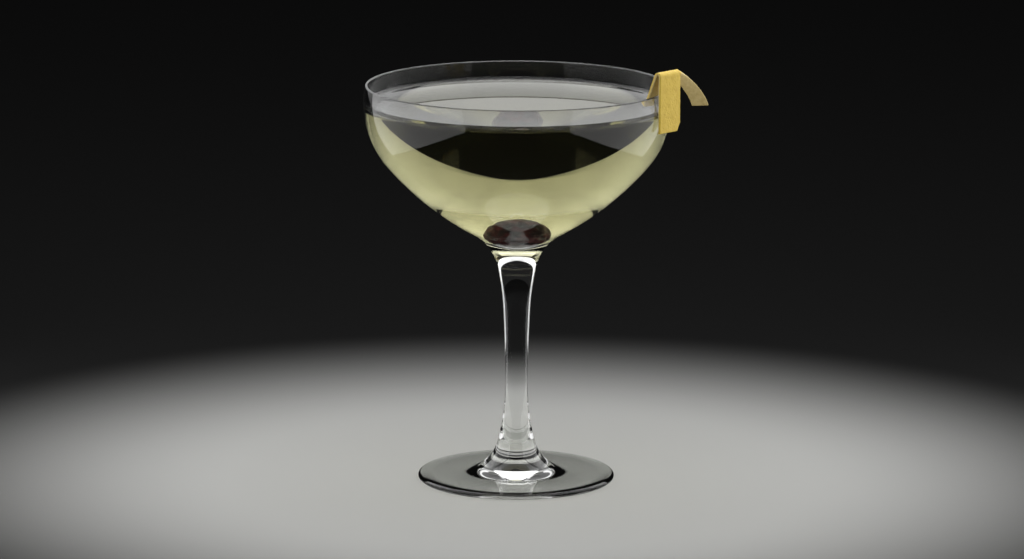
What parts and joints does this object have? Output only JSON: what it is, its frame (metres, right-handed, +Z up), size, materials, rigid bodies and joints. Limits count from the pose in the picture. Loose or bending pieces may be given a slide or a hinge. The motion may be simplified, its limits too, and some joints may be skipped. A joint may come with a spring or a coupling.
{
  "type": "tuxedo cocktail",
  "caption": "Pale cocktail in a stemmed coupe glass, with a dark cherry at the bottom of the bowl and a lemon twist folded over the rim.",
  "frame": {"origin": "middle of the foot, on the table", "axes": "+Z up along the stem; -Y is the front; +X is the side of the rim that carries the lemon twist"},
  "size_m": [0.1217, 0.109, 0.1508],
  "materials": {
    "clear_glass": "clear, polished",
    "drink": "pale straw liquid, slightly cloudy",
    "cherry": "dark, wet and slightly wrinkled",
    "lemon_zest": "waxy zest outside, pale pith inside"
  },
  "bodies": {
    "root": {"glass": "clear_glass", "drink": "drink", "cherry": "cherry", "lemon_twist": "lemon_zest"}
  },
  "joints": []
}
